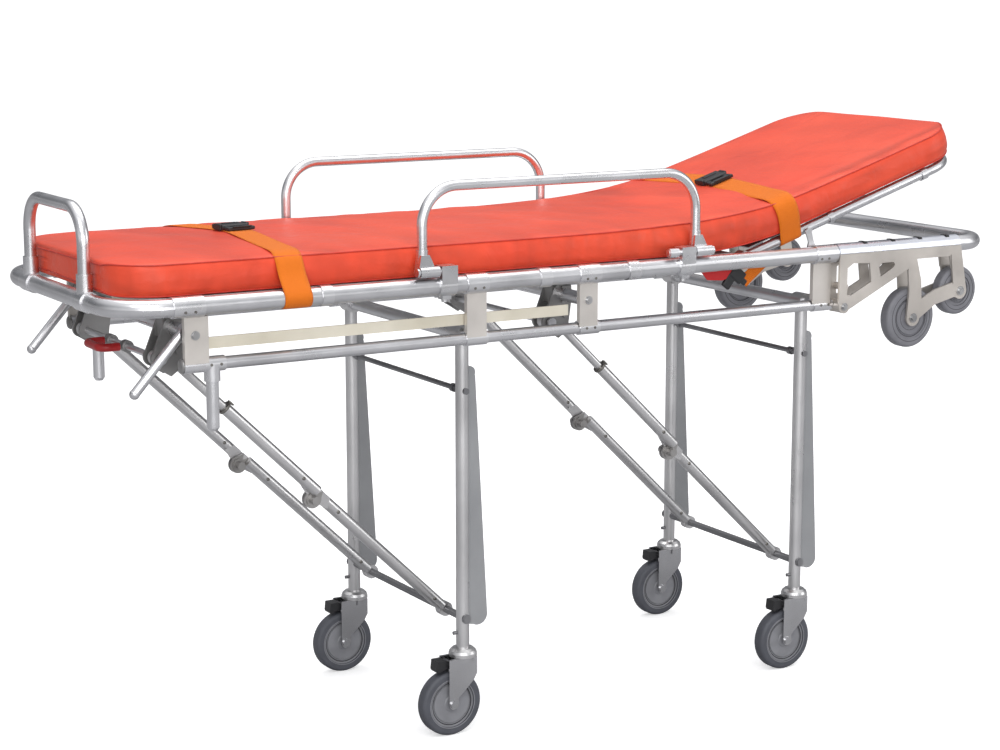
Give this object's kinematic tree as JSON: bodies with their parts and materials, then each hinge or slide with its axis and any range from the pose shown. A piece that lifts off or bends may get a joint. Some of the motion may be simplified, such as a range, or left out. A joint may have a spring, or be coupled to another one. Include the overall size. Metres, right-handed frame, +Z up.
{
  "type": "folding stretcher trolley",
  "caption": "Self-loading ambulance stretcher trolley: tube frame, padded mattress with adjustable backrest, folding castor legs, loading wheels, drop side guards.",
  "frame": {"origin": "floor level, in the middle of the trolley's length and width, under the castors", "axes": "+X towards the head end, +Y to the left of somebody pushing from the foot end, +Z up"},
  "size_m": [1.95, 0.622, 1.1165],
  "materials": {
    "tube": "satin anodised tube",
    "tube_bright": "brushed",
    "panel": "sheet",
    "cream_plate": "cream tinted satin",
    "dark_steel": "semi-gloss dark grey",
    "fastener": "zinc plated",
    "castor_metal": "bright plated",
    "black_plastic": "matt",
    "wheel_disc": "grey nylon",
    "wheel_tyre": "dark blue grey rubber",
    "loading_wheel": "grey nylon",
    "mattress": "orange-red vinyl cover over foam",
    "mattress_skin": "red vinyl",
    "strap": "orange webbing",
    "red_grip": "red sleeve"
  },
  "bodies": {
    "chassis": {"side_rails": "tube", "foot_end_tube": "tube", "head_end_tube": "tube", "rail_sleeves": "tube_bright", "lower_rails": "tube", "lower_sleeves": "tube_bright", "link_plates": "cream_plate", "frame_fasteners": "fastener", "cross_tubes": "dark_steel", "latch_housings": "dark_steel", "bed_cross_tubes": "tube", "bed_panel": "panel", "foot_loop": "tube", "ratchet_strips": "tube_bright", "loading_brackets": "cream_plate", "guard_clamps": "cream_plate", "mattress_seat": "mattress", "leg_strap": "strap", "mattress_flap": "mattress_skin"},
    "backrest": {"backrest_frame": "tube", "backrest_panel": "panel", "mattress_back": "mattress", "chest_strap": "strap"},
    "props": {"backrest_props": "tube_bright"},
    "guard_left": {"guard_left": "tube"},
    "guard_right": {"guard_right": "tube"},
    "lever_left": {"lever_left": "tube"},
    "lever_right": {"lever_right": "tube"},
    "link_bar_left": {"link_bar_left": "cream_plate"},
    "link_bar_right": {"link_bar_right": "cream_plate"},
    "handle": {"release_handle": "dark_steel", "release_grip": "red_grip"},
    "foot_leg_pair": {"foot_legs": "tube", "foot_leg_rods": "fastener"},
    "head_leg_pair": {"head_legs": "tube", "head_leg_rods": "fastener"},
    "foot_upper_struts": {"foot_upper_struts": "tube"},
    "foot_lower_struts": {"foot_lower_struts": "tube"},
    "head_upper_struts": {"head_upper_struts": "tube"},
    "head_lower_struts": {"head_lower_struts": "tube"},
    "castor_foot_left": {"castor_fork_foot_left": "castor_metal"},
    "wheel_foot_left": {"castor_hub_foot_left": "wheel_disc", "castor_tyre_foot_left": "wheel_tyre"},
    "brake_foot_left": {"castor_brake_foot_left": "black_plastic"},
    "castor_foot_right": {"castor_fork_foot_right": "castor_metal"},
    "wheel_foot_right": {"castor_hub_foot_right": "wheel_disc", "castor_tyre_foot_right": "wheel_tyre"},
    "brake_foot_right": {"castor_brake_foot_right": "black_plastic"},
    "castor_head_left": {"castor_fork_head_left": "castor_metal"},
    "wheel_head_left": {"castor_hub_head_left": "wheel_disc", "castor_tyre_head_left": "wheel_tyre"},
    "brake_head_left": {"castor_brake_head_left": "black_plastic"},
    "castor_head_right": {"castor_fork_head_right": "castor_metal"},
    "wheel_head_right": {"castor_hub_head_right": "wheel_disc", "castor_tyre_head_right": "wheel_tyre"},
    "brake_head_right": {"castor_brake_head_right": "black_plastic"},
    "loading_wheel_lower_left": {"loading_wheel_lower_left": "loading_wheel"},
    "loading_wheel_lower_right": {"loading_wheel_lower_right": "loading_wheel"},
    "loading_wheel_upper_left": {"loading_wheel_upper_left": "loading_wheel"},
    "loading_wheel_upper_right": {"loading_wheel_upper_right": "loading_wheel"}
  },
  "joints": [
    {"name": "backrest_hinge", "type": "hinge", "parent": "chassis", "child": "backrest", "pos_m": [0.354, 0, 0.868], "axis": [0, -1, 0], "range_deg": [-17.4, 57.6]},
    {"name": "prop_pivots", "type": "hinge", "parent": "backrest", "child": "props", "pos_m": [0.50597, 0, 0.91143], "axis": [0, -1, 0], "range_deg": [-23.1, 7]},
    {"name": "guard_left_hinge", "type": "hinge", "parent": "chassis", "child": "guard_left", "pos_m": [0.034, 0.3, 0.896], "axis": [-1, 0, 0], "range_deg": [0, 180]},
    {"name": "guard_right_hinge", "type": "hinge", "parent": "chassis", "child": "guard_right", "pos_m": [0.034, -0.3, 0.896], "axis": [1, 0, 0], "range_deg": [0, 180]},
    {"name": "lever_left_pivot", "type": "hinge", "parent": "chassis", "child": "lever_left", "pos_m": [-0.8185, 0.261, 0.818], "axis": [0, 1, 0], "range_deg": [0, 20], "stiffness_Nm_per_rad": 1},
    {"name": "link_bar_left_slide", "type": "slide", "parent": "chassis", "child": "link_bar_left", "axis": [-1, 0, 0], "range_m": [0, 0.006]},
    {"name": "lever_right_pivot", "type": "hinge", "parent": "chassis", "child": "lever_right", "pos_m": [-0.8185, -0.261, 0.818], "axis": [0, 1, 0], "range_deg": [0, 20], "stiffness_Nm_per_rad": 1},
    {"name": "link_bar_right_slide", "type": "slide", "parent": "chassis", "child": "link_bar_right", "axis": [-1, 0, 0], "range_m": [0, 0.006]},
    {"name": "handle_pivot", "type": "hinge", "parent": "chassis", "child": "handle", "pos_m": [-0.846, 0, 0.766], "axis": [0, 1, 0], "range_deg": [0, 20], "stiffness_Nm_per_rad": 0.6},
    {"name": "foot_leg_fold", "type": "hinge", "parent": "chassis", "child": "foot_leg_pair", "pos_m": [-0.266, 0, 0.765], "axis": [0, 1, 0], "range_deg": [0, 80]},
    {"name": "foot_upper_strut_pivot", "type": "hinge", "parent": "chassis", "child": "foot_upper_struts", "pos_m": [-0.846, 0, 0.766], "axis": [0, 1, 0], "range_deg": [-43, 0]},
    {"name": "foot_lower_strut_pivot", "type": "hinge", "parent": "foot_leg_pair", "child": "foot_lower_struts", "pos_m": [-0.266, 0, 0.224], "axis": [0, 1, 0], "range_deg": [0, 45.3]},
    {"name": "castor_foot_left_swivel", "type": "hinge", "parent": "foot_leg_pair", "child": "castor_foot_left", "pos_m": [-0.266, 0.225, 0.15], "axis": [0, 0, 1], "continuous": true},
    {"name": "wheel_foot_left_spin", "type": "hinge", "parent": "castor_foot_left", "child": "wheel_foot_left", "pos_m": [-0.296, 0.225, 0.0625], "axis": [0, 1, 0], "continuous": true},
    {"name": "brake_foot_left_pedal", "type": "hinge", "parent": "castor_foot_left", "child": "brake_foot_left", "pos_m": [-0.302, 0.225, 0.139], "axis": [0, -1, 0], "range_deg": [0, 10]},
    {"name": "castor_foot_right_swivel", "type": "hinge", "parent": "foot_leg_pair", "child": "castor_foot_right", "pos_m": [-0.266, -0.225, 0.15], "axis": [0, 0, 1], "continuous": true},
    {"name": "wheel_foot_right_spin", "type": "hinge", "parent": "castor_foot_right", "child": "wheel_foot_right", "pos_m": [-0.296, -0.225, 0.0625], "axis": [0, 1, 0], "continuous": true},
    {"name": "brake_foot_right_pedal", "type": "hinge", "parent": "castor_foot_right", "child": "brake_foot_right", "pos_m": [-0.302, -0.225, 0.139], "axis": [0, -1, 0], "range_deg": [0, 10]},
    {"name": "head_leg_fold", "type": "hinge", "parent": "chassis", "child": "head_leg_pair", "pos_m": [0.524, 0, 0.765], "axis": [0, 1, 0], "range_deg": [0, 80]},
    {"name": "head_upper_strut_pivot", "type": "hinge", "parent": "chassis", "child": "head_upper_struts", "pos_m": [-0.056, 0, 0.766], "axis": [0, 1, 0], "range_deg": [-43, 0]},
    {"name": "head_lower_strut_pivot", "type": "hinge", "parent": "head_leg_pair", "child": "head_lower_struts", "pos_m": [0.524, 0, 0.224], "axis": [0, 1, 0], "range_deg": [0, 45.3]},
    {"name": "castor_head_left_swivel", "type": "hinge", "parent": "head_leg_pair", "child": "castor_head_left", "pos_m": [0.524, 0.225, 0.15], "axis": [0, 0, 1], "continuous": true},
    {"name": "wheel_head_left_spin", "type": "hinge", "parent": "castor_head_left", "child": "wheel_head_left", "pos_m": [0.494, 0.225, 0.0625], "axis": [0, 1, 0], "continuous": true},
    {"name": "brake_head_left_pedal", "type": "hinge", "parent": "castor_head_left", "child": "brake_head_left", "pos_m": [0.488, 0.225, 0.139], "axis": [0, -1, 0], "range_deg": [0, 10]},
    {"name": "castor_head_right_swivel", "type": "hinge", "parent": "head_leg_pair", "child": "castor_head_right", "pos_m": [0.524, -0.225, 0.15], "axis": [0, 0, 1], "continuous": true},
    {"name": "wheel_head_right_spin", "type": "hinge", "parent": "castor_head_right", "child": "wheel_head_right", "pos_m": [0.494, -0.225, 0.0625], "axis": [0, 1, 0], "continuous": true},
    {"name": "brake_head_right_pedal", "type": "hinge", "parent": "castor_head_right", "child": "brake_head_right", "pos_m": [0.488, -0.225, 0.139], "axis": [0, -1, 0], "range_deg": [0, 10]},
    {"name": "loading_wheel_lower_left_spin", "type": "hinge", "parent": "chassis", "child": "loading_wheel_lower_left", "pos_m": [0.75, 0.2865, 0.724], "axis": [0, 1, 0], "continuous": true},
    {"name": "loading_wheel_lower_right_spin", "type": "hinge", "parent": "chassis", "child": "loading_wheel_lower_right", "pos_m": [0.75, -0.2865, 0.724], "axis": [0, 1, 0], "continuous": true},
    {"name": "loading_wheel_upper_left_spin", "type": "hinge", "parent": "chassis", "child": "loading_wheel_upper_left", "pos_m": [0.875, 0.2865, 0.771], "axis": [0, 1, 0], "continuous": true},
    {"name": "loading_wheel_upper_right_spin", "type": "hinge", "parent": "chassis", "child": "loading_wheel_upper_right", "pos_m": [0.875, -0.2865, 0.771], "axis": [0, 1, 0], "continuous": true}
  ],
  "couplings": [
    {"joint": "prop_pivots", "follows": "backrest_hinge", "ratio": -0.4},
    {"joint": "link_bar_left_slide", "follows": "lever_left_pivot", "m_per_rad": 0.017},
    {"joint": "link_bar_right_slide", "follows": "lever_right_pivot", "m_per_rad": 0.017},
    {"joint": "foot_upper_strut_pivot", "follows": "foot_leg_fold", "ratio": -0.53587},
    {"joint": "foot_lower_strut_pivot", "follows": "foot_leg_fold", "ratio": 0.56507},
    {"joint": "head_upper_strut_pivot", "follows": "head_leg_fold", "ratio": -0.53587},
    {"joint": "head_lower_strut_pivot", "follows": "head_leg_fold", "ratio": 0.56507}
  ]
}
